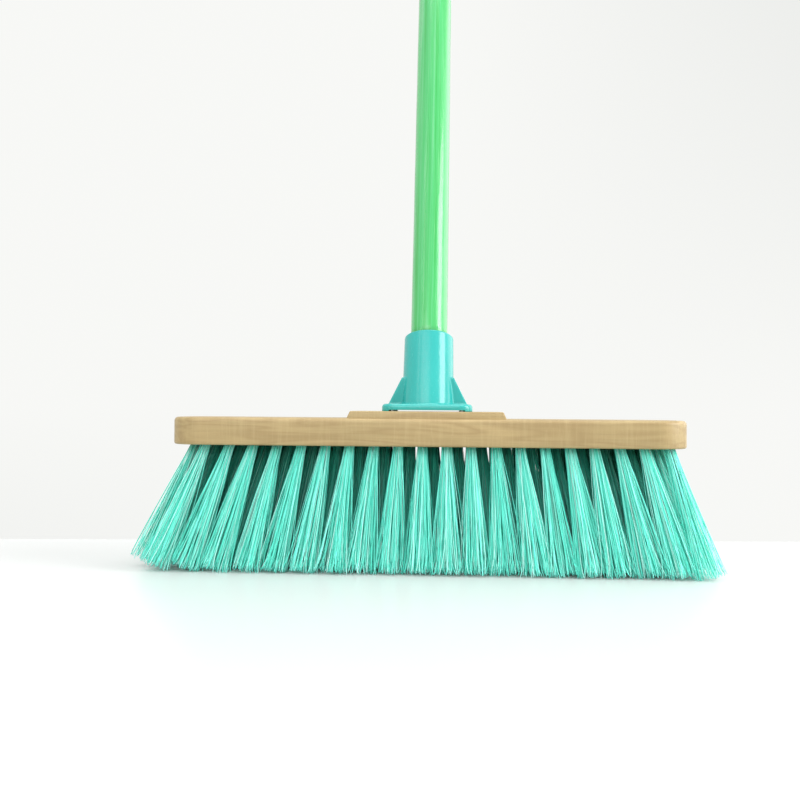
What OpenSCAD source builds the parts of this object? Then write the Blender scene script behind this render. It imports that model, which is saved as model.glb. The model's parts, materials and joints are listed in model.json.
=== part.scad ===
// Push broom: a wooden block with five rows of bristle tufts, a slanted plastic socket on its top,
// and a plastic-covered wooden handle that screws into the socket.
// X runs along the block, the handle leans towards +Y, and the tufts' tips stand on z = 0.

/* [Block] */
// Length of the wooden block
block_len = 300; // [280:1:330]
// Depth of the block, from front to back
block_depth = 59; // [57:0.5:66]
// Thickness of the block's two wings
block_thick = 16; // [15.5:0.5:20]
// Height of the block's underside over the floor
block_under = 72.5; // [62:0.5:85]
// Radius of the block's four corners, seen from above
corner_r = 19; // [14:0.5:24]
// Radius of the block's rounded top edges
top_edge_r = 2.4; // [1.5:0.1:3.5]
// Radius of the block's rounded bottom edges
bottom_edge_r = 1.2; // [0.8:0.1:2]
// Rise of the pad that carries the socket
pad_rise = 4.2; // [2.5:0.1:5]
// Length of the flat top of the pad
pad_len = 88; // [70:1:100]
// Length of each end ramp of the pad
pad_ramp = 2; // [1:0.5:6]

/* [Bristles] */
// Tufts in each row
tufts_per_row = 20; // [18:2:20]
// Distance between tufts along a row, at the block
tuft_pitch = 14.1; // [13.6:0.1:14.4]
// Distance between rows, at the block
row_pitch = 10; // [9.5:0.1:10.4]
// Lean of the outermost tufts at the right end, in degrees
end_lean = 16; // [12:0.5:20]
// Lean of the outermost tufts at the left end, in degrees
left_lean = 22; // [12:0.5:22]
// Lean of the front and back rows, in degrees
side_lean = 8; // [6:0.5:10]
// Radius of a tuft where it leaves the block
root_r = 2.95; // [2.6:0.05:3.2]
// Radius of a tuft at the floor
tip_r = 7.4; // [6:0.1:7.5]
// Depth of a tuft's hole, along the hole
hole_depth = 11.5; // [10:0.5:12]

/* [Socket] */
// Lean of the socket and handle, from upright, in degrees
handle_lean = 18.5; // [12:0.5:22]
// Length of the flange along the block
flange_len = 53; // [50:0.5:60]
// Width of the flange across the block
flange_width = 42; // [38:0.5:48]
// Thickness of the flange
flange_thick = 4.4; // [3.5:0.1:5]
// Outer radius of the barrel at its rim
barrel_rim_r = 14.9; // [14.5:0.1:16]
// Outer radius of the barrel at its foot
barrel_foot_r = 15.5; // [15.2:0.1:17]
// Distance of the rim from the pad, along the handle
barrel_len = 47; // [46:0.5:55]
// Height of the side gussets over the flange
gusset_height = 16; // [12:0.5:20]

/* [Handle] */
// Length of the handle from its threaded tip to the end of its cap
handle_len = 1200; // [900:10:1500]
// Outer radius of the covered handle
handle_r = 11.15; // [10.9:0.05:11.4]
// Thickness of the plastic film on the handle
film = 0.25; // [0.15:0.05:0.4]
// Length of the cap's skirt at the top of the handle
cap_len = 34; // [20:1:60]
// Wall of the cap
cap_wall = 0.9; // [0.6:0.1:1]

/* [Hidden] */
$fn = 48;
LEFT = -1;
RIGHT = 1;
rows = 5;
fit_gap = 0.05; // around pieces that are pressed or driven in
loose_gap = 0.3; // around the handle in its socket
ROW_NUMBERS = [1 : rows];

block_top = block_under + block_thick;
pad_top = block_top + pad_rise;
hole_r = root_r + 2 * fit_gap;

// Odd rows stand to the right and even rows to the left, by a little over half a pitch in all
stagger = 4;
row_nudge = 0.7; // of the whole pattern, to the right
last_root = (tufts_per_row - 1) / 2 * tuft_pitch + stagger + row_nudge;
anchor_len = 2 * root_r;
anchor_width = 2;
anchor_thick = 0.4;
anchor_at = hole_depth - 2.2; // of the anchor's lower edge, along the tuft

screw_x = 20.5;
screw_y = 15;
screw_len = 12;
screw_r = 1.75;
screw_head_r = 3.4;
screw_head = 2;
recess_width = 0.9;
recess_len = 3.4;
recess_depth = 1.2;
relief = 0.8; // clearance under the flange between its two feet
foot_len = 4.5; // of the flange, at each end

// Distances along the handle's axis, from the point where it meets the pad
bore_floor = 8;
tip_start = bore_floor + 0.5;
thread_end = 36;
collar_end = 44;
thread_r = 10.4;
spigot_r = 8;
spigot_start = tip_start + 5;
nail_at = 40;
nail_r = 0.8;
nail_len = 6;
handle_end = tip_start + handle_len;
cap_r = handle_r + cap_wall;
skirt_end = handle_end - cap_r; // where the dome begins
core_r = handle_r - film;
rim_edge_r = 1;

// ---- Places of the tufts ----
// Row 1 is at the front; odd rows are staggered to the right and even rows to the left
function row_y(row) = (row - (rows + 1) / 2) * row_pitch;
function row_shift(row) = row_nudge + (row % 2 == 1 ? stagger : -stagger);
function root_x(row, i) = (i - (tufts_per_row - 1) / 2) * tuft_pitch + row_shift(row);
function lean_x(x) = (x < 0 ? left_lean : end_lean) * x / last_root;
function lean_y(y) = side_lean * y / row_y(rows);
// The tufts of one half of a row
function half(side) = side == LEFT ? [0 : tufts_per_row / 2 - 1] : [tufts_per_row / 2 : tufts_per_row - 1];

// Places children on a tuft's axis: the origin is at the root and the tuft runs to -z
module at_root(row, i) {
    x = root_x(row, i);
    y = row_y(row);
    translate([x, y, block_under]) rotate([lean_y(y), -lean_x(x), 0]) children();
}

// Places children on the handle's axis: z is the distance from the pad
module on_axis() {
    translate([0, 0, pad_top]) rotate([-handle_lean, 0, 0]) children();
}

// Places children at the four screws
module at_screws() {
    for (x = [-screw_x, screw_x], y = [-screw_y, screw_y]) translate([x, y, 0]) children();
}

// ---- Head ----
// Half of the block's edge profile: x from 0 to reach, with both edges rounded
module edge_profile(reach) {
    translate([0, 0]) square([reach - top_edge_r, block_thick]);
    translate([0, bottom_edge_r]) square([reach, block_thick - bottom_edge_r - top_edge_r]);
    translate([reach - top_edge_r, block_thick - top_edge_r]) circle(top_edge_r);
    translate([reach - bottom_edge_r, bottom_edge_r]) circle(bottom_edge_r);
    square([reach - bottom_edge_r, bottom_edge_r]);
}

module both_ways() {
    children();
    mirror([1, 0]) children();
}

module pad_outline() {
    half_top = pad_len / 2;
    half_foot = half_top + pad_ramp;
    polygon([[-half_foot, -1], [-half_foot, 0], [-half_top, pad_rise], [half_top, pad_rise],
        [half_foot, 0], [half_foot, -1]]);
}

module block_body() {
    along = block_len / 2 - corner_r;
    across = block_depth / 2 - corner_r;
    translate([0, 0, block_under]) {
        rotate([90, 0, 0]) linear_extrude(2 * across, center = true)
            both_ways() edge_profile(block_len / 2);
        rotate([90, 0, 90]) linear_extrude(2 * along, center = true)
            both_ways() edge_profile(block_depth / 2);
        for (x = [-along, along], y = [-across, across])
            translate([x, y, 0]) rotate_extrude() edge_profile(corner_r);
    }
    translate([0, 0, block_top]) rotate([90, 0, 0])
        linear_extrude(block_depth - 2 * top_edge_r, center = true) pad_outline();
}

module head_block() {
    color("tan") difference() {
        block_body();
        for (row = ROW_NUMBERS, i = [0 : tufts_per_row - 1])
            at_root(row, i) translate([0, 0, -3]) cylinder(hole_depth + 3, r = hole_r);
        at_screws() translate([0, 0, pad_top - screw_len + flange_thick - 0.3])
            cylinder(screw_len, r = screw_r + fit_gap);
    }
}

// ---- Bristles ----
// A tuft's half profile; it fills the hole, and widens from the root to the floor
module tuft_profile(reach) {
    flare = (tip_r - root_r) / reach;
    end = 1.2 * reach;
    polygon([[0, hole_depth - fit_gap], [root_r, hole_depth - fit_gap], [root_r, 0],
        [root_r + flare * end, -end], [0, -end]]);
}

module tufts(row, side) {
    color("mediumaquamarine") intersection() {
        for (i = half(side)) {
            reach = block_under / (cos(lean_x(root_x(row, i))) * cos(lean_y(row_y(row))));
            at_root(row, i) difference() {
                rotate_extrude() tuft_profile(reach);
                translate([0, 0, anchor_at + anchor_width / 2])
                    cube([3 * root_r, anchor_thick + 2 * fit_gap, anchor_width + 2 * fit_gap], center = true);
            }
        }
        translate([-block_len, -block_depth * 2, 0]) cube([2 * block_len, 4 * block_depth, block_top]);
    }
}

module anchors(row) {
    color("silver") for (i = [0 : tufts_per_row - 1]) at_root(row, i)
        translate([0, 0, anchor_at + anchor_width / 2])
            cube([anchor_len, anchor_thick, anchor_width], center = true);
}

// ---- Socket ----
module rounded_plate(length, width, r) {
    square([length - 2 * r, width], center = true);
    square([length, width - 2 * r], center = true);
    for (x = [-1, 1], y = [-1, 1])
        translate([x * (length / 2 - r), y * (width / 2 - r)]) circle(r);
}

// Barrel's half profile, with its rounded rim
module barrel_profile() {
    polygon([[0, -10], [barrel_foot_r, -10], [barrel_foot_r, 0],
        [barrel_rim_r, barrel_len - rim_edge_r], [0, barrel_len - rim_edge_r]]);
    square([barrel_rim_r - rim_edge_r, barrel_len]);
    translate([barrel_rim_r - rim_edge_r, barrel_len - rim_edge_r]) circle(rim_edge_r);
}

module gusset_outline() {
    foot = flange_len / 2 - 3;
    polygon([[-foot, flange_thick - 1], [-foot, flange_thick], [-barrel_foot_r, flange_thick + gusset_height],
        [barrel_foot_r, flange_thick + gusset_height], [foot, flange_thick], [foot, flange_thick - 1]]);
}

module socket_body() {
    translate([0, 0, pad_top]) {
        linear_extrude(flange_thick) rounded_plate(flange_len, flange_width, 8);
        rotate([90, 0, 0]) linear_extrude(3, center = true) gusset_outline();
    }
    intersection() {
        on_axis() rotate_extrude() barrel_profile();
        translate([0, 0, pad_top + 50]) cube(100, center = true);
    }
}

module handle_socket() {
    color("mediumturquoise") difference() {
        socket_body();
        on_axis() translate([0, 0, bore_floor]) cylinder(barrel_len, r = thread_r + loose_gap);
        on_axis() translate([0, 0, thread_end]) cylinder(barrel_len, r = handle_r + loose_gap);
        at_screws() translate([0, 0, pad_top - 1]) cylinder(flange_thick + 2, r = screw_r + 0.2);
        at_screws() translate([0, 0, pad_top + flange_thick - screw_head - 0.1])
            cylinder(screw_head + 0.1, screw_r + 0.2, screw_head_r + 0.2);
        translate([0, 0, pad_top])
            cube([flange_len - 2 * foot_len, 2 * flange_width, 2 * relief], center = true);
    }
}

module socket_screws() {
    color("silver") at_screws() translate([0, 0, pad_top + flange_thick - screw_len]) difference() {
        union() {
            cylinder(screw_len - 1, r = screw_r);
            translate([0, 0, screw_len - screw_head - 0.1]) cylinder(screw_head, screw_r, screw_head_r);
        }
        for (turn = [0, 90]) rotate([0, 0, turn]) translate([0, 0, screw_len])
            cube([recess_len, recess_width, 2 * recess_depth], center = true);
    }
}

// ---- Handle ----
module nail_holes(gap) {
    for (side = [0, 180]) on_axis() rotate([0, 0, side]) translate([handle_r - 0.1, 0, nail_at])
        rotate([0, -90, 0]) cylinder(nail_len + gap, r = nail_r + gap);
}

module thread_tip() {
    color("lightseagreen") difference() {
        on_axis() difference() {
            union() {
                translate([0, 0, tip_start]) cylinder(thread_end - tip_start + 1, r = thread_r);
                translate([0, 0, thread_end + 0.3]) cylinder(collar_end - thread_end - 0.3, r = handle_r);
            }
            translate([0, 0, spigot_start]) cylinder(collar_end, r = spigot_r + fit_gap);
        }
        for (side = [0, 180]) on_axis() rotate([0, 0, side]) translate([handle_r + 1, 0, nail_at])
            rotate([0, -90, 0]) cylinder(nail_len + 1.2, r = nail_r + fit_gap);
    }
}

module tip_nails() {
    color("silver") nail_holes(0);
}

module dome(r) {
    intersection() {
        translate([0, 0, skirt_end]) sphere(r);
        translate([0, 0, skirt_end]) cylinder(r, r = r);
    }
}

module handle_core() {
    color("burlywood") difference() {
        on_axis() {
            translate([0, 0, spigot_start + 0.2]) cylinder(collar_end, r = spigot_r);
            translate([0, 0, collar_end + fit_gap])
                cylinder(skirt_end - collar_end - fit_gap, r = core_r - fit_gap);
            dome(core_r - fit_gap);
        }
        nail_holes(fit_gap);
    }
}

module handle_film() {
    color("limegreen") on_axis() difference() {
        translate([0, 0, collar_end + fit_gap]) cylinder(skirt_end - collar_end - 2 * fit_gap, r = handle_r);
        translate([0, 0, collar_end]) cylinder(skirt_end, r = core_r);
    }
}

module end_cap() {
    color("mediumseagreen") on_axis() difference() {
        union() {
            translate([0, 0, skirt_end - cap_len]) cylinder(cap_len, r = cap_r);
            dome(cap_r);
        }
        translate([0, 0, skirt_end - cap_len - 1]) cylinder(cap_len + 1, r = handle_r + fit_gap);
        dome(core_r);
    }
}

head_block();
handle_socket();
socket_screws();
thread_tip();
tip_nails();
handle_core();
handle_film();
end_cap();
for (row = ROW_NUMBERS) {
    tufts(row, LEFT);
    tufts(row, RIGHT);
    anchors(row);
}
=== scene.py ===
"""Looks of the push broom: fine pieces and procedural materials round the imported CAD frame."""
import json
import math
import random

import bmesh
import bpy
from mathutils import Matrix, Vector


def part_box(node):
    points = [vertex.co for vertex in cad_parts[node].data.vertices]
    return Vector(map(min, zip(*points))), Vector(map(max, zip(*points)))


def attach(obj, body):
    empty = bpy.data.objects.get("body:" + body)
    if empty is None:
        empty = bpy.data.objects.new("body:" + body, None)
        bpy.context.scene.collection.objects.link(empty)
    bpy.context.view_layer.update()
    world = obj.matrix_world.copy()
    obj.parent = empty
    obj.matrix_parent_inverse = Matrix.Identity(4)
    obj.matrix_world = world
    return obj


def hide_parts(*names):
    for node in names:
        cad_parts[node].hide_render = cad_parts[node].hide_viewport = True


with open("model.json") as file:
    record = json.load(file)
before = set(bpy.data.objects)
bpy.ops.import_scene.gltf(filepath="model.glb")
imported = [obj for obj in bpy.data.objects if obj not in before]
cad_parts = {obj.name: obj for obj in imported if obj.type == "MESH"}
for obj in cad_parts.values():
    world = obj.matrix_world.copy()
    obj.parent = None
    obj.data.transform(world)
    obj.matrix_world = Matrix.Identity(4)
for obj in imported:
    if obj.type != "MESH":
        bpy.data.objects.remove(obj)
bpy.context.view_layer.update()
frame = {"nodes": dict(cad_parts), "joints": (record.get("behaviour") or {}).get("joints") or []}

MM = 0.001
TAU = 2 * math.pi
SEED = 7

# ---- Places, from the frame ----
block_low, block_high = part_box("head_block")
HALF_LEN = block_high.x
HALF_DEPTH = block_high.y
UNDER = block_low.z
PAD_TOP = block_high.z
socket_low, socket_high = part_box("handle_socket")
handle_axis = Vector(frame["joints"][0]["axis"]).normalized()
HANDLE_LEAN = math.atan2(handle_axis.y, handle_axis.z)
# The handle's own frame: its origin is where the axis meets the pad, and +Z runs up the handle
ON_AXIS = Matrix.Translation((0, 0, PAD_TOP)) @ Matrix.Rotation(-HANDLE_LEAN, 4, "X")
OFF_AXIS = ON_AXIS.inverted()


def along_handle(node):
    """Lowest and highest distance of a CAD node along the handle's axis, from the pad."""
    heights = [(OFF_AXIS @ v.co).z for v in frame["nodes"][node].data.vertices]
    return min(heights), max(heights)


TIP_START, COLLAR_END = along_handle("thread_tip")
FILM_START, FILM_END = along_handle("handle_film")
CAP_START, CAP_END = along_handle("end_cap")

# ---- Driving dimensions of the block, the bristles and the handle ----
PAD_RISE = 4.2 * MM
PAD_HALF = 44 * MM
PAD_RAMP = 2 * MM
CORNER_R = 19 * MM
TOP_EDGE_R = 2.4 * MM
BOTTOM_EDGE_R = 1.2 * MM
ROWS = 5
PER_ROW = 20
TUFT_PITCH = 14.1 * MM
STAGGER = 4 * MM
ROW_NUDGE = 0.7 * MM
ROW_PITCH = 10 * MM
END_LEAN = math.radians(16)
LEFT_LEAN = math.radians(22)
SIDE_LEAN = math.radians(8)
ROOT_R = 2.95 * MM
TIP_R = 7.4 * MM
HOLE_DEPTH = 11.5 * MM
HANDLE_R = 11.15 * MM
CAP_R = 12.05 * MM
CORE_R = 10.9 * MM
SOCKET_GAP = 0.3 * MM


# ---- Materials ----
class Nodes:
    """A short way to write a node tree."""

    def __init__(self, name):
        self.material = bpy.data.materials.new(name)
        self.material.use_nodes = True
        self.tree = self.material.node_tree
        self.shader = self.tree.nodes["Principled BSDF"]
        self.place = self.tree.nodes.new("ShaderNodeTexCoord").outputs["Object"]

    def add(self, kind, values=None, **settings):
        node = self.tree.nodes.new("ShaderNode" + kind)
        for key, value in settings.items():
            setattr(node, key, value)
        for key, value in (values or {}).items():
            if isinstance(value, bpy.types.NodeSocket):
                self.tree.links.new(value, node.inputs[key])
            else:
                node.inputs[key].default_value = value
        return node

    def scaled(self, scale):
        return self.add("Mapping", {"Vector": self.place, "Scale": scale}).outputs["Vector"]

    def noise(self, scale, detail=3, roughness=0.5, distortion=0.0):
        """Noise whose scale is given for each axis, in waves a metre."""
        values = {"Vector": self.scaled(scale), "Scale": 1.0, "Detail": detail}
        values.update({"Roughness": roughness, "Distortion": distortion})
        return self.add("TexNoise", values).outputs["Fac"]

    def ramp(self, factor, *stops):
        node = self.add("ValToRGB", {"Fac": factor})
        points = node.color_ramp.elements
        while len(points) < len(stops):
            points.new(0.5)
        for point, (position, colour) in zip(points, stops):
            point.position = position
            point.color = (*colour, 1) if len(colour) == 3 else colour
        return node.outputs["Color"]

    def mix(self, factor, a, b, blend="MIX"):
        node = self.add("Mix", data_type="RGBA", blend_type=blend)
        for key, value in (("Factor", factor), ("A", a), ("B", b)):
            wanted = "VALUE" if key == "Factor" else "RGBA"
            socket = next(s for s in node.inputs if s.name == key and s.type == wanted)
            if isinstance(value, bpy.types.NodeSocket):
                self.tree.links.new(value, socket)
            else:
                socket.default_value = value if key == "Factor" else (*value, 1)
        return next(s for s in node.outputs if s.type == "RGBA")

    def to_range(self, value, low, high, start=0.0, end=1.0):
        values = {"Value": value, "From Min": start, "From Max": end, "To Min": low, "To Max": high}
        return self.add("MapRange", values).outputs["Result"]

    def bump(self, height, strength, distance, normal=None):
        values = {"Height": height, "Strength": strength, "Distance": distance}
        if normal:
            values["Normal"] = normal
        return self.add("Bump", values).outputs["Normal"]

    def finish(self, **inputs):
        for key, value in inputs.items():
            socket = self.shader.inputs[key.replace("_", " ")]
            if isinstance(value, bpy.types.NodeSocket):
                self.tree.links.new(value, socket)
            else:
                socket.default_value = value
        return self.material


def wood_material():
    """Pale lacquered hardwood with its grain along X: faint figure, sander's marks across it, and pores."""
    m = Nodes("block_wood")
    field = m.noise((7, 55, 95), detail=2, distortion=0.5)
    spread = m.add("Math", {0: field, 1: 14.0}, operation="MULTIPLY").outputs[0]
    figure = m.add("Math", {0: spread, 1: 1.0}, operation="PINGPONG").outputs[0]
    fine = m.noise((26, 900, 900), detail=5, roughness=0.65)
    pores = m.noise((160, 3600, 3600), detail=2)
    cloud = m.noise((16, 30, 40), detail=2)
    sanding = m.noise((420, 45, 30), detail=4, roughness=0.7, distortion=0.8)
    colour = m.mix(m.to_range(cloud, 0.0, 1.0, 0.3, 0.7), (0.330, 0.243, 0.106), (0.392, 0.283, 0.126))
    colour = m.mix(m.to_range(figure, 0.0, 0.6, 0.25, 1.0), colour, (0.27, 0.18, 0.070))
    colour = m.mix(m.to_range(fine, 0.0, 0.4, 0.45, 0.75), colour, (0.25, 0.18, 0.075))
    colour = m.mix(m.to_range(sanding, 0.0, 0.4, 0.48, 0.8), colour, (0.48, 0.37, 0.185))
    colour = m.mix(m.to_range(pores, 0.0, 0.4, 0.66, 0.8), colour, (0.16, 0.10, 0.045))
    normal = m.bump(fine, 0.15, 0.0004, m.bump(pores, 0.12, 0.0003, m.bump(sanding, 0.1, 0.0003)))
    return m.finish(
        Base_Color=colour,
        Roughness=m.to_range(fine, 0.4, 0.6),
        Normal=normal,
        Coat_Weight=0.1,
        Coat_Roughness=0.3,
    )


def bristle_material():
    """Glossy green filament; each one has its own tone, and the rows inside the head carry painted shade for the little
    light that comes through the outer rows.
    """
    m = Nodes("bristle")
    each = m.add("NewGeometry").outputs["Random Per Island"]
    colour = m.ramp(
        each,
        (0.0, (0.070, 0.66, 0.52)),
        (0.3, (0.15, 0.88, 0.73)),
        (0.7, (0.26, 0.95, 0.82)),
        (1.0, (0.62, 0.97, 0.92)),
    )
    along = m.noise((260, 260, 40), detail=2)
    colour = m.mix(m.to_range(along, 0.0, 0.3, 0.5, 0.8), colour, (0.07, 0.64, 0.50))
    # painted shade: the inner rows are mixed towards dark green and lose most of their specular, most of all near the
    # block and not at the head's ends
    # distance behind the face of the outer rows, which lean outwards below the block
    split = m.add("SeparateXYZ", {"Vector": m.place})
    side = m.add("Math", {0: split.outputs["Y"]}, operation="ABSOLUTE").outputs[0]
    flare = m.to_range(split.outputs["Z"], 8 * MM, 0.0, 0.0, UNDER)
    level = m.add("Math", {0: side, 1: flare}, operation="SUBTRACT").outputs[0]
    inner = m.to_range(level, 1.0, 0.0, 12.5 * MM, 17 * MM)
    deep = m.to_range(split.outputs["Z"], 0.15, 0.86, 12 * MM, 60 * MM)
    shade = m.add("Math", {0: inner, 1: deep}, operation="MULTIPLY").outputs[0]
    along_block = m.add("Math", {0: split.outputs["X"]}, operation="ABSOLUTE").outputs[0]
    fan = m.to_range(split.outputs["Z"], 27 * MM, 0.0, 0.0, UNDER)
    from_middle = m.add("Math", {0: along_block, 1: fan}, operation="SUBTRACT").outputs[0]
    inside = m.to_range(from_middle, 1.0, 0.0, 122 * MM, 138 * MM)
    shade = m.add("Math", {0: shade, 1: inside}, operation="MULTIPLY").outputs[0]
    # the painted shade darkens the base colour and lowers the specular
    return m.finish(
        Base_Color=m.mix(shade, colour, (0.002, 0.20, 0.12)),
        Roughness=m.to_range(along, 0.3, 0.45),
        Specular_IOR_Level=m.to_range(shade, 0.4, 0.05),
    )


def moulded_plastic(name, base, deep):
    """Glossy injection moulding: faint flow marks, a slight orange-peel surface and fine scuffs."""
    m = Nodes(name)
    flow = m.noise((30, 30, 12), detail=2, distortion=1.2)
    scuffs = m.noise((900, 900, 120), detail=3, roughness=0.7)
    colour = m.mix(m.to_range(flow, 0.0, 0.5, 0.35, 0.7), base, deep)
    normal = m.bump(m.noise((380, 380, 380), detail=1), 0.08, 0.0004)
    return m.finish(
        Base_Color=colour,
        Roughness=m.to_range(scuffs, 0.16, 0.34, 0.4, 0.8),
        Normal=m.bump(scuffs, 0.05, 0.0002, normal),
        Specular_IOR_Level=0.45,
    )


def film_material():
    """Green film over wood: streaks of grain run along the handle (Z of its own frame) and show in the gloss."""
    m = Nodes("handle_film")
    streaks = m.noise((420, 420, 5), detail=4, roughness=0.6, distortion=0.3)
    fine = m.noise((1500, 1500, 18), detail=3, roughness=0.6)
    blotch = m.noise((60, 60, 14), detail=2)
    colour = m.ramp(
        streaks,
        (0.36, (0.032, 0.34, 0.070)),
        (0.48, (0.050, 0.40, 0.110)),
        (0.58, (0.062, 0.42, 0.135)),
        (0.68, (0.13, 0.46, 0.20)),
    )
    colour = m.mix(m.to_range(fine, 0.0, 0.4, 0.5, 0.8), colour, (0.16, 0.46, 0.22))
    colour = m.mix(m.to_range(blotch, 0.0, 0.35, 0.5, 0.8), colour, (0.055, 0.36, 0.11))
    normal = m.bump(streaks, 0.5, 0.0008, m.bump(fine, 0.25, 0.0002))
    return m.finish(
        Base_Color=colour,
        Roughness=m.to_range(fine, 0.12, 0.28),
        Normal=normal,
        Coat_Weight=0.4,
        Coat_Roughness=0.08,
    )


def stick_material():
    """Plain turned wood, grain along Z of the handle."""
    m = Nodes("handle_wood")
    grain = m.noise((500, 500, 12), detail=4, distortion=0.4)
    colour = m.ramp(grain, (0.35, (0.50, 0.33, 0.17)), (0.65, (0.68, 0.51, 0.31)))
    return m.finish(Base_Color=colour, Roughness=0.62, Normal=m.bump(grain, 0.2, 0.0003))


def steel_material():
    """Zinc-plated wire and screws, with fine drawing marks."""
    m = Nodes("steel")
    marks = m.noise((2500, 2500, 300), detail=3)
    colour = m.ramp(marks, (0.3, (0.50, 0.50, 0.50)), (0.7, (0.72, 0.72, 0.70)))
    return m.finish(
        Base_Color=colour, Metallic=1.0, Roughness=m.to_range(marks, 0.22, 0.42), Normal=m.bump(marks, 0.1, 0.0001)
    )


WOOD = wood_material()
BRISTLE = bristle_material()
SOCKET_PLASTIC = moulded_plastic("socket_plastic", (0.027, 0.365, 0.337), (0.018, 0.305, 0.287))
CAP_PLASTIC = moulded_plastic("cap_plastic", (0.028, 0.38, 0.345), (0.020, 0.32, 0.295))
FILM = film_material()
STICK = stick_material()
STEEL = steel_material()


# ---- Mesh helpers ----
def new_object(name, points, faces, material):
    mesh = bpy.data.meshes.new(name)
    mesh.from_pydata(points, [], faces)
    mesh.update()
    mesh.polygons.foreach_set("use_smooth", [True] * len(mesh.polygons))
    made = bpy.data.objects.new(name, mesh)
    bpy.context.scene.collection.objects.link(made)
    if material:
        mesh.materials.append(material)
    return made


def place(piece, body, slot, *nodes):
    """Puts a finished piece on its body, in place of its CAD nodes."""
    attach(piece, body)
    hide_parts(*nodes)


def loft(rings, ends=True):
    """Points and faces of a tube through rings of the same length. Open ends get one face each."""
    count = len(rings[0])
    points = [p for ring in rings for p in ring]
    faces = []
    for r in range(len(rings) - 1):
        for i in range(count):
            j = (i + 1) % count
            faces.append((r * count + i, r * count + j, (r + 1) * count + j, (r + 1) * count + i))
    if ends:
        faces.append(tuple(reversed(range(count))))
        faces.append(tuple(range((len(rings) - 1) * count, len(rings) * count)))
    return points, faces


def turned(profile, segments=96):
    """Rings of a shape turned about Z. A profile's points are (radius, height), or a function of the angle."""
    rings = []
    for point in profile:
        ring = []
        for i in range(segments):
            angle = TAU * i / segments
            radius, height = point(angle) if callable(point) else point
            ring.append((radius * math.cos(angle), radius * math.sin(angle), height))
        rings.append(ring)
    return rings


def arc(centre_r, centre_z, radius, start, end, steps):
    """Points of an arc in a profile; angles in degrees, from the +r direction towards +z."""
    out = []
    for k in range(steps + 1):
        a = math.radians(start + (end - start) * k / steps)
        out.append((centre_r + radius * math.cos(a), centre_z + radius * math.sin(a)))
    return out


def modify(piece, kind, **settings):
    """Adds a modifier and applies it."""
    modifier = piece.modifiers.new(kind, kind)
    for key, value in settings.items():
        setattr(modifier, key, value)
    graph = bpy.context.evaluated_depsgraph_get()
    mesh = bpy.data.meshes.new_from_object(piece.evaluated_get(graph))
    old = piece.data
    piece.modifiers.clear()
    piece.data = mesh
    mesh.name = old.name
    bpy.data.meshes.remove(old)
    piece.data.polygons.foreach_set("use_smooth", [True] * len(piece.data.polygons))
    return piece


def cut(piece, cutter, operation="DIFFERENCE"):
    modify(piece, "BOOLEAN", object=cutter, operation=operation, solver="EXACT")
    bpy.data.objects.remove(cutter)
    return piece


def joined(*parts):
    """One object from several, in the world frame, with the first one's material."""
    first, points, faces = parts[0], [], []
    for part in parts:
        start = len(points)
        points += [part.matrix_world @ v.co for v in part.data.vertices]
        faces += [tuple(start + i for i in p.vertices) for p in part.data.polygons]
    made = new_object(first.name + "_whole", points, faces, first.data.materials[0])
    for part in parts:
        bpy.data.objects.remove(part)
    return made


def fused(piece, voxel, rounds):
    """One skin round overlapping closed parts, with its edges and inner corners softened as in a moulding."""
    modify(piece, "REMESH", mode="VOXEL", voxel_size=voxel, adaptivity=0.0)
    modify(piece, "SMOOTH", factor=0.5, iterations=rounds)
    return piece


# ---- Block ----
def outline(inset):
    """The block's outline seen from above, moved inwards: points with even steps along the long sides."""
    radius = max(CORNER_R - inset, 0.0)
    x_end = HALF_LEN - CORNER_R
    y_end = HALF_DEPTH - CORNER_R
    # past the corner's radius the outline is a plain rectangle that goes on shrinking
    past = max(inset - CORNER_R, 0.0)
    x_end, y_end = x_end - past, max(y_end - past, 0.0)
    side, corner, end = 170, 12, 14
    points = []
    for quarter in range(4):
        sx = (1, -1, -1, 1)[quarter]
        sy = (1, 1, -1, -1)[quarter]
        for k in range(corner):
            a = math.radians(90 * (quarter + k / corner))
            points.append((sx * x_end + radius * math.cos(a), sy * y_end + radius * math.sin(a)))
        if quarter % 2 == 0:
            across = sy * (y_end + radius)
            for k in range(side):
                points.append((sx * x_end * (1 - 2 * k / side), across))
        else:
            beside = sx * (x_end + radius)
            for k in range(end):
                points.append((beside, sy * y_end * (1 - 2 * k / end)))
    return points


def wood_block():
    """The block with rounded edges, and the raised pad, which stands back from the block's long sides."""
    block_top = PAD_TOP - PAD_RISE
    rings = []
    rings += [[(x, y, UNDER) for x, y in outline(i)] for i in (HALF_DEPTH, 20 * MM, 10 * MM, 4 * MM)]
    for k in range(5):
        a = math.radians(90 * k / 4)
        inset, rise = BOTTOM_EDGE_R * (1 - math.sin(a)), BOTTOM_EDGE_R * (1 - math.cos(a))
        rings.append([(x, y, UNDER + rise) for x, y in outline(inset)])
    for k in range(9):
        a = math.radians(90 * k / 8)
        inset, drop = TOP_EDGE_R * (1 - math.cos(a)), TOP_EDGE_R * (1 - math.sin(a))
        rings.append([(x, y, block_top - drop) for x, y in outline(inset)])
    for inset in (4 * MM, 12 * MM, 24 * MM, HALF_DEPTH):
        rings.append([(x, y, block_top) for x, y in outline(inset)])
    points, faces = loft(rings, ends=False)
    block = outwards(new_object("block", points, faces, WOOD))
    foot, buried = PAD_HALF + PAD_RAMP, block_top - 2 * MM
    side = [(-foot, buried), (foot, buried), (foot, block_top), (PAD_HALF, PAD_TOP), (-PAD_HALF, PAD_TOP), (-foot, block_top)]
    pad = outwards(prism("pad", side, HALF_DEPTH - TOP_EDGE_R, WOOD))
    modify(pad, "BEVEL", width=0.7 * MM, segments=4, limit_method="ANGLE")
    whole = joined(block, pad)
    whole.name = "wood_block"
    whole.data.set_sharp_from_angle(angle=math.radians(35))
    return whole


# ---- Bristles ----
def row_y(row):
    return (row - (ROWS + 1) / 2) * ROW_PITCH


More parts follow.
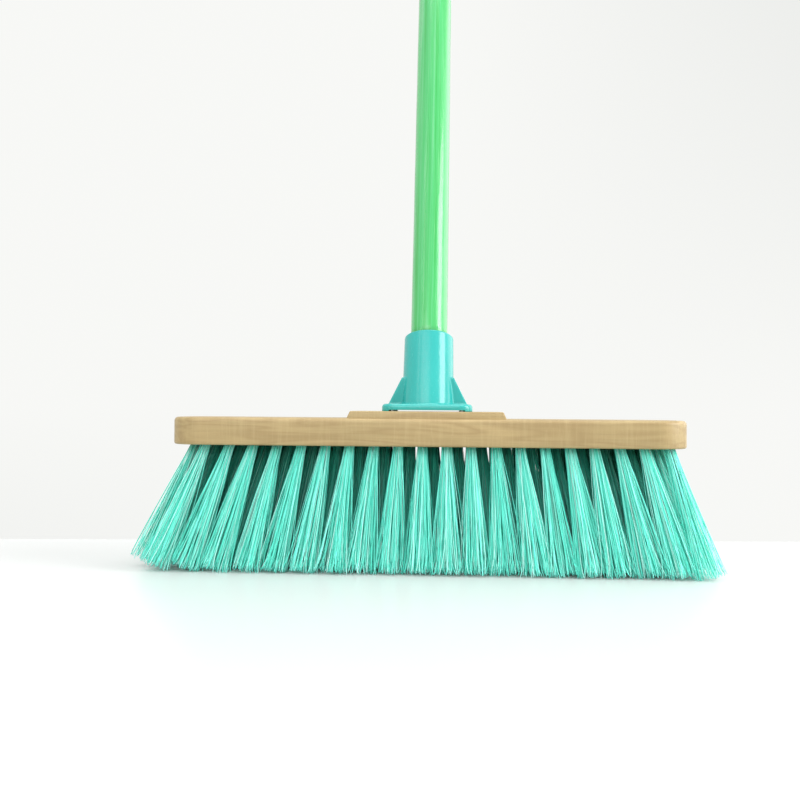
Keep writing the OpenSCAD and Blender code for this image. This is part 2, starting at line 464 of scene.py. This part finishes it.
def root_x(row, i):
    shift = STAGGER if row % 2 else -STAGGER
    return (i - (PER_ROW - 1) / 2) * TUFT_PITCH + shift + ROW_NUDGE


LAST_ROOT = (PER_ROW - 1) / 2 * TUFT_PITCH + STAGGER + ROW_NUDGE
FILAMENTS = 124
STRAYS = 6
CLUMPS = 6
FILAMENT_R = 0.165 * MM
FILAMENT_RINGS = 10
FILAMENT_LEN = 76 * MM
SPREAD_X = 1.22
FILAMENT_SIDES = 4


def tuft_frame(row, i):
    """The tuft's own frame: its origin is at the root, and the tuft runs to -Z."""
    x, y = root_x(row, i), row_y(row)
    lean_x = (LEFT_LEAN if x < 0 else END_LEAN) * x / LAST_ROOT
    lean_y = SIDE_LEAN * y / row_y(ROWS)
    turn = Matrix.Rotation(-lean_x, 4, "Y") @ Matrix.Rotation(lean_y, 4, "X")
    return Matrix.Translation((x, y, UNDER)) @ turn


def filament(here, chance, clumps, stray):
    """Centre line of one filament, from inside its hole to its cut end; most keep to one of the tuft's clumps."""
    angle = chance.uniform(0, TAU)
    spread = 0.9 if stray else chance.random() ** 0.45
    unit = Vector((math.cos(angle), math.sin(angle), 0))
    root = unit * spread * (ROOT_R - FILAMENT_R)
    reach = UNDER / -(here.to_3x3() @ Vector((0, 0, -1))).z
    tip = unit * spread * TIP_R
    tip.x *= SPREAD_X
    nearest = min(clumps, key=lambda c: (c - tip).length)
    tip = tip.lerp(nearest, 0.2) + Vector((chance.gauss(0, 1.7), chance.gauss(0, 1.2), 0)) * MM
    if stray:
        tip = Matrix.Rotation(chance.uniform(-1.2, 1.2), 3, "Z") @ (unit * (TIP_R + chance.uniform(-3, 3) * MM))
    bow = Vector((chance.gauss(0, 0.8), chance.gauss(0, 0.6), 0)) * MM
    curl = Vector((chance.gauss(0, 1.5), chance.gauss(0, 1.3), 0)) * MM
    # all filaments have about one length, so those that lean most end above the floor
    slant = math.hypot(reach, (here.to_3x3() @ (tip - root)).x * 0.5)
    short = max(slant - FILAMENT_LEN, 0.0) + min(abs(chance.gauss(0, 2.1)), 6.5) * MM
    line = []
    for k in range(FILAMENT_RINGS):
        t = 1 - (1 - k / (FILAMENT_RINGS - 1)) ** 1.5
        depth = -3 * MM + t * (reach - short + 3 * MM)
        s = max(depth / reach, 0.0)
        across = root.lerp(tip, s ** 1.12) + bow * math.sin(math.pi * s) + curl * s ** 14
        line.append(here @ (across + Vector((0, 0, -depth))))
    # nothing goes under the floor
    for p in line:
        p.z = max(p.z, FILAMENT_R * 0.8)
    return line


def tuft_piece(name, row, side):
    chance = random.Random(SEED * 1000 + row * 10 + (side > 0))
    half = range(PER_ROW // 2) if side < 0 else range(PER_ROW // 2, PER_ROW)
    points, faces = [], []
    for i in half:
        here = tuft_frame(row, i) @ Matrix.Rotation(math.radians(chance.gauss(0, 0.6)), 4, "Y")
        clumps = []
        for _ in range(CLUMPS):
            a, r = chance.uniform(0, TAU), TIP_R * math.sqrt(chance.uniform(0.05, 1))
            clumps.append(Vector((SPREAD_X * r * math.cos(a), r * math.sin(a), 0)))
        for number in range(FILAMENTS + STRAYS):
            line = filament(here, chance, clumps, number >= FILAMENTS)
            turn = chance.uniform(0, TAU)
            start = len(points)
            for k, p in enumerate(line):
                along = (line[min(k + 1, len(line) - 1)] - line[max(k - 1, 0)]).normalized()
                u = along.orthogonal().normalized()
                v = along.cross(u)
                for s in range(FILAMENT_SIDES):
                    a = turn + TAU * s / FILAMENT_SIDES
                    points.append(p + (u * math.cos(a) + v * math.sin(a)) * FILAMENT_R)
            for k in range(len(line) - 1):
                for s in range(FILAMENT_SIDES):
                    a = start + k * FILAMENT_SIDES + s
                    b = start + k * FILAMENT_SIDES + (s + 1) % FILAMENT_SIDES
                    faces.append((a, a + FILAMENT_SIDES, b + FILAMENT_SIDES, b))
            faces.append(tuple(start + s for s in range(FILAMENT_SIDES)))
            end = start + (len(line) - 1) * FILAMENT_SIDES
            faces.append(tuple(end + s for s in reversed(range(FILAMENT_SIDES))))
    return new_object(name, points, faces, BRISTLE)


# ---- Screw thread ----
THREAD_PITCH = 4.5 * MM
THREAD_ROOT_R = 8.9 * MM
THREAD_CREST_R = 10.3 * MM
THREAD_END = 36 * MM


def thread_radius(angle, height, gap=0.0):
    """Radius of the coarse, round-topped thread."""
    phase = (height / THREAD_PITCH - angle / TAU) % 1.0
    wave = min(max(1.0 - abs(phase - 0.5) * 3.2, 0.0) * 1.6, 1.0)
    wave = wave * wave * (3 - 2 * wave)
    return THREAD_ROOT_R + gap + (THREAD_CREST_R - THREAD_ROOT_R) * wave


def threaded_rod(name, start, end, gap, material, segments=72):
    """A closed rod with the thread on it, in the handle's frame."""
    steps = int((end - start) / (0.35 * MM))
    profile = []
    for k in range(steps + 1):
        z = start + (end - start) * k / steps
        profile.append(lambda a, z=z: (thread_radius(a, z, gap), z))
    points, faces = loft(turned(profile, segments))
    return new_object(name, points, faces, material)


# ---- Socket ----
FLANGE_T = 4.4 * MM
FLANGE_HALF_LEN = socket_high.x
FLANGE_HALF_WIDTH = 21 * MM
FLANGE_CORNER = 8 * MM
BARREL_RIM_R = 14.9 * MM
BARREL_FOOT_R = 15.5 * MM
BARREL_LEN = 47 * MM
GUSSET_H = 16 * MM
GUSSET_T = 3 * MM
BORE_FLOOR = 8 * MM
SCREW_X, SCREW_Y = 20.5 * MM, 15 * MM
RELIEF = 0.8 * MM
FOOT = 4.5 * MM


def plate(name, half_x, half_y, corner, low, high, edge, material, steps=10):
    """A plate with rounded corners and a rounded top edge."""
    def ring(inset, z):
        out = []
        for quarter, (sx, sy) in enumerate(((1, 1), (-1, 1), (-1, -1), (1, -1))):
            for k in range(steps + 1):
                a = math.radians(90 * (quarter + k / steps))
                r = corner - inset
                out.append((sx * (half_x - corner) + r * math.cos(a), sy * (half_y - corner) + r * math.sin(a), z))
        return out

    rings = [ring(0, low), ring(0, high - edge)]
    for k in range(1, 6):
        a = math.radians(90 * k / 5)
        rings.append(ring(edge * (1 - math.cos(a)), high - edge * (1 - math.sin(a))))
    points, faces = loft(rings)
    return new_object(name, points, faces, material)


def prism(name, outline_xz, half_y, material):
    """An outline in X and Z, extruded both ways along Y."""
    rings = [[(x, y, z) for x, z in outline_xz] for y in (half_y, -half_y)]
    points, faces = loft(rings)
    return new_object(name, points, faces, material)


def box_between(name, low, high):
    outline_xz = [(low[0], low[2]), (high[0], low[2]), (high[0], high[2]), (low[0], high[2])]
    made = prism(name, outline_xz, (high[1] - low[1]) / 2, None)
    made.data.transform(Matrix.Translation((0, (low[1] + high[1]) / 2, 0)))
    return made


def outwards(piece):
    """Turns every face of a closed mesh to face out."""
    shape = bmesh.new()
    shape.from_mesh(piece.data)
    bmesh.ops.remove_doubles(shape, verts=shape.verts, dist=0.001 * MM)
    bmesh.ops.recalc_face_normals(shape, faces=shape.faces)
    shape.to_mesh(piece.data)
    shape.free()
    return piece


def socket_moulding():
    flange = plate(
        "flange", FLANGE_HALF_LEN, FLANGE_HALF_WIDTH, FLANGE_CORNER, PAD_TOP, PAD_TOP + FLANGE_T, 2 * MM, SOCKET_PLASTIC
    )
    rim = 0.7 * MM
    barrel_profile = [(BARREL_FOOT_R, -6 * MM), (BARREL_FOOT_R, 0.0)]
    barrel_profile += [(BARREL_RIM_R, BARREL_LEN - rim)]
    barrel_profile += arc(BARREL_RIM_R - rim, BARREL_LEN - rim, rim, 15, 90, 6)
    points, faces = loft(turned(barrel_profile, 128))
    barrel = new_object("barrel", points, faces, SOCKET_PLASTIC)
    barrel.data.transform(ON_AXIS)
    foot = FLANGE_HALF_LEN - 3 * MM
    low, high = PAD_TOP + FLANGE_T - 1 * MM, PAD_TOP + FLANGE_T
    gusset = prism(
        "gusset",
        [(-foot, low), (foot, low), (foot, high), (BARREL_FOOT_R, high + GUSSET_H),
         (-BARREL_FOOT_R, high + GUSSET_H), (-foot, high)],
        GUSSET_T / 2,
        SOCKET_PLASTIC,
    )
    for part in (flange, barrel, gusset):
        outwards(part)
    body = joined(flange, barrel, gusset)
    body.name = "socket_moulding"
    fused(body, 0.4 * MM, 2)
    # everything under the pad's top goes, and the flange stands on a foot at each end
    cut(body, outwards(box_between("below", (-0.1, -0.1, PAD_TOP - 0.03), (0.1, 0.1, PAD_TOP + 0.02 * MM))))
    inner = FLANGE_HALF_LEN - FOOT
    cut(body, outwards(box_between("relief", (-inner, -0.1, PAD_TOP - 0.01), (inner, 0.1, PAD_TOP + RELIEF))))
    rod = outwards(threaded_rod("bore_thread", BORE_FLOOR, THREAD_END + 1 * MM, 0.35 * MM, None))
    rod.data.transform(ON_AXIS)
    cut(body, rod)
    mouth_r = HANDLE_R + SOCKET_GAP
    mouth = [(mouth_r, THREAD_END), (mouth_r, BARREL_LEN - 0.8 * MM)]
    mouth += [(mouth_r + 0.8 * MM, BARREL_LEN), (mouth_r + 0.8 * MM, BARREL_LEN + 5 * MM)]
    points, faces = loft(turned(mouth, 128))
    opening = outwards(new_object("mouth", points, faces, None))
    opening.data.transform(ON_AXIS)
    cut(body, opening)
    for x in (-SCREW_X, SCREW_X):
        for y in (-SCREW_Y, SCREW_Y):
            seat = [(1.95 * MM, -1 * MM), (1.95 * MM, FLANGE_T - 2.1 * MM)]
            seat += [(3.6 * MM, FLANGE_T - 0.1 * MM), (3.6 * MM, FLANGE_T + 2 * MM)]
            points, faces = loft(turned(seat, 40))
            hole = outwards(new_object("hole", points, faces, None))
            hole.data.transform(Matrix.Translation((x, y, PAD_TOP)))
            cut(body, hole)
    return body


# ---- Handle ----
def handle_cover():
    """The film on the stick: a tube with the slight waves of the wood below it."""
    chance = random.Random(SEED)
    waves = [(chance.randint(2, 9), chance.uniform(3, 30), chance.uniform(0, TAU), chance.uniform(0, TAU)) for _ in range(14)]

    def outer(z):
        def point(angle):
            rise = sum(math.sin(n * angle + f) * math.sin(w * z * TAU + g) for n, w, f, g in waves)
            return HANDLE_R + 0.012 * MM * rise, z
        return point

    steps = 150
    profile = [(CORE_R + 0.02 * MM, FILM_START)]
    profile += [outer(FILM_START + (FILM_END - FILM_START) * k / steps) for k in range(steps + 1)]
    profile += [(CORE_R + 0.02 * MM, FILM_END)]
    rings = turned(profile, 96)
    inner = turned([(CORE_R, FILM_END), (CORE_R, FILM_START)], 96)
    points, faces = loft(rings + inner, ends=False)
    count = 96
    last = len(rings) + len(inner) - 1
    faces += [(last * count + i, last * count + (i + 1) % count, (i + 1) % count, i) for i in range(count)]
    cover = outwards(new_object("film_cover", points, faces, FILM))
    cover.matrix_world = ON_AXIS
    return cover


def threaded_tip():
    """The plastic tip: thread, chamfered nose and the collar that the film meets."""
    rod = outwards(threaded_rod("threaded_tip", TIP_START, THREAD_END + 1 * MM, 0.0, SOCKET_PLASTIC))
    collar = [(THREAD_ROOT_R, THREAD_END + 0.3 * MM), (HANDLE_R - 0.5 * MM, THREAD_END + 0.3 * MM)]
    collar += arc(HANDLE_R - 0.5 * MM, THREAD_END + 0.8 * MM, 0.5 * MM, -90, 0, 4)
    collar += [(HANDLE_R, COLLAR_END)]
    points, faces = loft(turned(collar, 96))
    ring = outwards(new_object("collar", points, faces, None))
    cut(rod, ring, "UNION")
    nose = [(THREAD_ROOT_R - 1.2 * MM, TIP_START - 1 * MM), (THREAD_ROOT_R - 1.2 * MM, TIP_START)]
    nose += [(THREAD_CREST_R + 1 * MM, TIP_START + 2.2 * MM), (THREAD_CREST_R + 1 * MM, COLLAR_END + 1 * MM)]
    points, faces = loft(turned(nose, 96))
    cut(rod, outwards(new_object("nose", points, faces, None)), "INTERSECT")
    spigot = [(8.05 * MM, TIP_START + 5 * MM), (8.05 * MM, COLLAR_END + 2 * MM)]
    points, faces = loft(turned(spigot, 72))
    cut(rod, outwards(new_object("spigot", points, faces, None)))
    rod.matrix_world = ON_AXIS
    return rod


def domed_cap():
    """The closed cap at the top: a lip at its mouth, four grip rings and a domed end with a moulding gate's mark."""
    dome = CAP_END - CAP_R
    inside = [(CORE_R * math.cos(math.radians(a)), dome + CORE_R * math.sin(math.radians(a))) for a in range(88, -1, -4)]
    inside += [(HANDLE_R + 0.05 * MM, dome), (HANDLE_R + 0.05 * MM, CAP_START + 0.2 * MM)]
    low_r = CAP_R - 0.3 * MM
    skirt = [(HANDLE_R + 0.25 * MM, CAP_START), (CAP_R - 0.2 * MM, CAP_START), (CAP_R, CAP_START + 0.2 * MM)]
    skirt += [(CAP_R, CAP_START + 2 * MM), (low_r, CAP_START + 2.4 * MM)]
    for k in range(4):
        z = CAP_START + (9 + 4 * k) * MM
        skirt += [(low_r, z), (CAP_R, z + 0.4 * MM), (CAP_R, z + 1.4 * MM), (low_r, z + 1.8 * MM)]
    skirt += [(low_r, dome - 1 * MM)]
    top = [(CAP_R * math.cos(math.radians(a)), dome + CAP_R * math.sin(math.radians(a))) for a in range(0, 83, 4)]
    gate = [(1.5 * MM, CAP_END - 0.12 * MM), (1.2 * MM, CAP_END - 0.5 * MM), (0.05 * MM, CAP_END - 0.5 * MM)]
    points, faces = loft(turned(inside + skirt + top + gate, 96))
    cap = outwards(new_object("domed_cap", points, faces, CAP_PLASTIC))
    cap.data.set_sharp_from_angle(angle=math.radians(30))
    cap.matrix_world = ON_AXIS
    return cap


# ---- Put the pieces on their bodies ----
place(wood_block(), "head", "block_wood", "head_block")
for row in range(1, ROWS + 1):
    for side, word in ((-1, "left"), (1, "right")):
        node = f"tufts_{word}_{row}"
        place(tuft_piece(f"filaments_{word}_{row}", row, side), "head", "bristle", node)
place(socket_moulding(), "head", "socket_plastic", "handle_socket")
place(handle_cover(), "handle", "handle_film", "handle_film")
place(threaded_tip(), "handle", "socket_plastic", "thread_tip")
place(domed_cap(), "handle", "cap_plastic", "end_cap")

for node, material in (("socket_screws", STEEL), ("tip_nails", STEEL), ("handle_core", STICK)):
    frame["nodes"][node].material_slots[0].material = material
for row in range(1, ROWS + 1):
    frame["nodes"][f"anchors_{row}"].material_slots[0].material = STEEL


# ---- Floor, light and camera ----
def floor_material():
    """Smooth white board; it is a little paler far from the lamps, so that it stays white to its edges."""
    m = Nodes("floor_sheet")
    speck = m.to_range(m.noise((40, 40, 40), detail=3), 0.0, 0.1)
    near = m.mix(speck, (0.59, 0.60, 0.60), (0.57, 0.58, 0.58))
    away = m.add("VectorMath", {0: m.place}, operation="LENGTH").outputs["Value"]
    colour = m.mix(m.to_range(away, 0.0, 1.0, 0.9, 2.6), near, (0.98, 0.985, 0.98))
    return m.finish(Base_Color=colour, Roughness=0.3)


BACK_LINE = 119 * MM
FLOOR_TURN = math.radians(5)
FLOOR_Z = -0.1 * MM
sheet = [(-12, -12, FLOOR_Z), (12, -12, FLOOR_Z), (12, BACK_LINE, FLOOR_Z), (-12, BACK_LINE, FLOOR_Z)]
floor = new_object("floor", sheet, [(0, 1, 2, 3)], floor_material())
floor.matrix_world = Matrix.Rotation(FLOOR_TURN, 4, "Z")


def softbox(name, azimuth, elevation, distance, width, height, power, aim=(0, 0, 0.12)):
    """An area light on a circle round the broom. Azimuth 0 is in front and 90 to the right."""
    data = bpy.data.lights.new(name, "AREA")
    data.shape = "RECTANGLE"
    data.size, data.size_y = width, height
    data.energy = power
    lamp = bpy.data.objects.new(name, data)
    bpy.context.scene.collection.objects.link(lamp)
    a, e = math.radians(azimuth), math.radians(elevation)
    target = Vector(aim)
    lamp.location = target + distance * Vector((math.sin(a) * math.cos(e), -math.cos(a) * math.cos(e), math.sin(e)))
    lamp.rotation_euler = (target - lamp.location).to_track_quat("-Z", "Y").to_euler()


softbox("key", 77, 22, 1.6, 0.7, 1.2, 26)
softbox("edge", 128, 20, 1.7, 1.2, 1.3, 8)
softbox("fill", -14, 26, 1.7, 1.2, 1.0, 10.5)
softbox("strip", -52, 26, 1.7, 0.12, 1.7, 2.4)
softbox("overhead", 0, 88, 1.8, 1.4, 1.4, 20)


def studio_world():
    """An even, nearly white room, a little darker high up on the right."""
    world = bpy.data.worlds.new("studio")
    bpy.context.scene.world = world
    world.use_nodes = True
    nodes, links = world.node_tree.nodes, world.node_tree.links
    way = nodes.new("ShaderNodeTexCoord")
    split = nodes.new("ShaderNodeSeparateXYZ")
    shade = nodes.new("ShaderNodeMapRange")
    ramp = nodes.new("ShaderNodeValToRGB")
    links.new(way.outputs["Generated"], split.inputs[0])
    corner = nodes.new("ShaderNodeMath")
    corner.operation = "MULTIPLY"
    links.new(split.outputs["X"], corner.inputs[0])
    links.new(split.outputs["Z"], corner.inputs[1])
    links.new(corner.outputs[0], shade.inputs["Value"])
    shade.inputs["From Max"].default_value = 0.13
    links.new(shade.outputs["Result"], ramp.inputs["Fac"])
    ramp.color_ramp.elements[0].color = (0.935, 0.94, 0.92, 1)
    ramp.color_ramp.elements[1].color = (0.83, 0.84, 0.82, 1)
    links.new(ramp.outputs["Color"], nodes["Background"].inputs["Color"])


studio_world()

scene = bpy.context.scene
scene.view_settings.view_transform = "Standard"

CAMERA_DISTANCE = 0.5986
CAMERA_HEIGHT = 0.0942
CAMERA_SIDE = -0.01666
BROOM_YAW = math.radians(3.29)
CAMERA_PITCH = math.radians(0.5)
CAMERA_ROLL = math.radians(0.46)
camera_data = bpy.data.cameras.new("camera")
camera_data.sensor_width = 36
camera_data.lens = 45
camera_data.clip_start = 0.01
camera = bpy.data.objects.new("camera", camera_data)
scene.collection.objects.link(camera)
scene.camera = camera
level = Matrix.Rotation(BROOM_YAW, 4, "Z") @ Matrix.Translation((CAMERA_SIDE, -CAMERA_DISTANCE, CAMERA_HEIGHT))
camera.matrix_world = level @ Matrix.Rotation(math.pi / 2 + CAMERA_PITCH, 4, "X") @ Matrix.Rotation(CAMERA_ROLL, 4, "Z")
